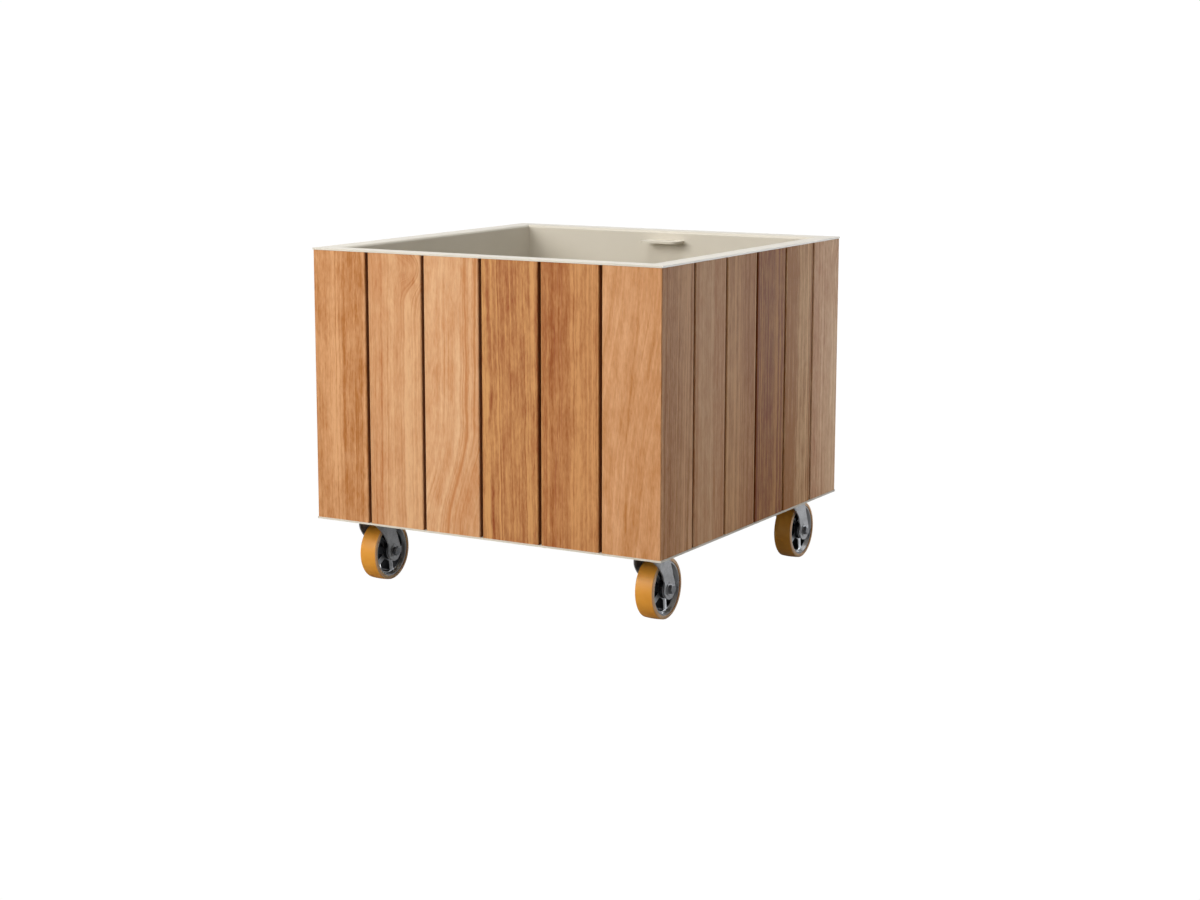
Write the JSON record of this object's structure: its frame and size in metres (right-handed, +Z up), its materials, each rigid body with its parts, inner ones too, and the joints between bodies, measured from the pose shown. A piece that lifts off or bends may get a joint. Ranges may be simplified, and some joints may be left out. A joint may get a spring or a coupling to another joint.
{
  "type": "rolling planter",
  "caption": "Square planter clad in upright wooden boards round a folded-steel tub, standing on swivel casters with amber treads.",
  "frame": {"origin": "on the floor under the middle of the box", "axes": "+X to the box's right, +Y to its back, +Z up; at rest the wheels trail behind their swivel axes, towards +Y"},
  "size_m": [0.85, 0.8625, 0.7435],
  "materials": {
    "coated_steel": "fine matt powder coat, warm off-white",
    "wood_boards": "oiled hardwood, straight grain",
    "zinc_pressing": "zinc plated, satin",
    "zinc_fastener": "zinc plated, satin",
    "bearing_steel": "ground steel",
    "cast_aluminium": "die cast",
    "amber_tread": "smooth polyurethane tread"
  },
  "bodies": {
    "planter": {"tub": "coated_steel", "inner_tab": "coated_steel", "base_frame": "coated_steel", "floor_bearers": "coated_steel", "corner_posts": "coated_steel", "board_rails": "coated_steel", "board_screws": "zinc_fastener", "caster_bolts": "zinc_fastener", "front_board_1": "wood_boards", "front_board_2": "wood_boards", "front_board_3": "wood_boards", "front_board_4": "wood_boards", "front_board_5": "wood_boards", "front_board_6": "wood_boards", "right_board_1": "wood_boards", "right_board_2": "wood_boards", "right_board_3": "wood_boards", "right_board_4": "wood_boards", "right_board_5": "wood_boards", "right_board_6": "wood_boards", "back_board_1": "wood_boards", "back_board_2": "wood_boards", "back_board_3": "wood_boards", "back_board_4": "wood_boards", "back_board_5": "wood_boards", "back_board_6": "wood_boards", "left_board_1": "wood_boards", "left_board_2": "wood_boards", "left_board_3": "wood_boards", "left_board_4": "wood_boards", "left_board_5": "wood_boards", "left_board_6": "wood_boards", "front_left_top_plate": "zinc_pressing", "front_right_top_plate": "zinc_pressing", "back_left_top_plate": "zinc_pressing", "back_right_top_plate": "zinc_pressing", "front_left_swivel_balls": "bearing_steel", "front_right_swivel_balls": "bearing_steel", "back_left_swivel_balls": "bearing_steel", "back_right_swivel_balls": "bearing_steel"},
    "front_left_caster": {"front_left_fork": "zinc_pressing", "front_left_axle": "zinc_fastener"},
    "front_left_wheel": {"front_left_wheel_rim": "cast_aluminium", "front_left_tyre": "amber_tread", "front_left_bearings": "bearing_steel"},
    "front_right_caster": {"front_right_fork": "zinc_pressing", "front_right_axle": "zinc_fastener"},
    "front_right_wheel": {"front_right_wheel_rim": "cast_aluminium", "front_right_tyre": "amber_tread", "front_right_bearings": "bearing_steel"},
    "back_left_caster": {"back_left_fork": "zinc_pressing", "back_left_axle": "zinc_fastener"},
    "back_left_wheel": {"back_left_wheel_rim": "cast_aluminium", "back_left_tyre": "amber_tread", "back_left_bearings": "bearing_steel"},
    "back_right_caster": {"back_right_fork": "zinc_pressing", "back_right_axle": "zinc_fastener"},
    "back_right_wheel": {"back_right_wheel_rim": "cast_aluminium", "back_right_tyre": "amber_tread", "back_right_bearings": "bearing_steel"}
  },
  "joints": [
    {"name": "front_left_swivel", "type": "hinge", "parent": "planter", "child": "front_left_caster", "pos_m": [-0.346, -0.33, 0.1565], "axis": [0, 0, 1], "continuous": true},
    {"name": "front_left_roll", "type": "hinge", "parent": "front_left_caster", "child": "front_left_wheel", "pos_m": [-0.346, -0.288, 0.0655], "axis": [1, 0, 0], "continuous": true},
    {"name": "front_right_swivel", "type": "hinge", "parent": "planter", "child": "front_right_caster", "pos_m": [0.346, -0.33, 0.1565], "axis": [0, 0, 1], "continuous": true},
    {"name": "front_right_roll", "type": "hinge", "parent": "front_right_caster", "child": "front_right_wheel", "pos_m": [0.346, -0.288, 0.0655], "axis": [1, 0, 0], "continuous": true},
    {"name": "back_left_swivel", "type": "hinge", "parent": "planter", "child": "back_left_caster", "pos_m": [-0.346, 0.33, 0.1565], "axis": [0, 0, 1], "continuous": true},
    {"name": "back_left_roll", "type": "hinge", "parent": "back_left_caster", "child": "back_left_wheel", "pos_m": [-0.346, 0.372, 0.0655], "axis": [1, 0, 0], "continuous": true},
    {"name": "back_right_swivel", "type": "hinge", "parent": "planter", "child": "back_right_caster", "pos_m": [0.346, 0.33, 0.1565], "axis": [0, 0, 1], "continuous": true},
    {"name": "back_right_roll", "type": "hinge", "parent": "back_right_caster", "child": "back_right_wheel", "pos_m": [0.346, 0.372, 0.0655], "axis": [1, 0, 0], "continuous": true}
  ]
}
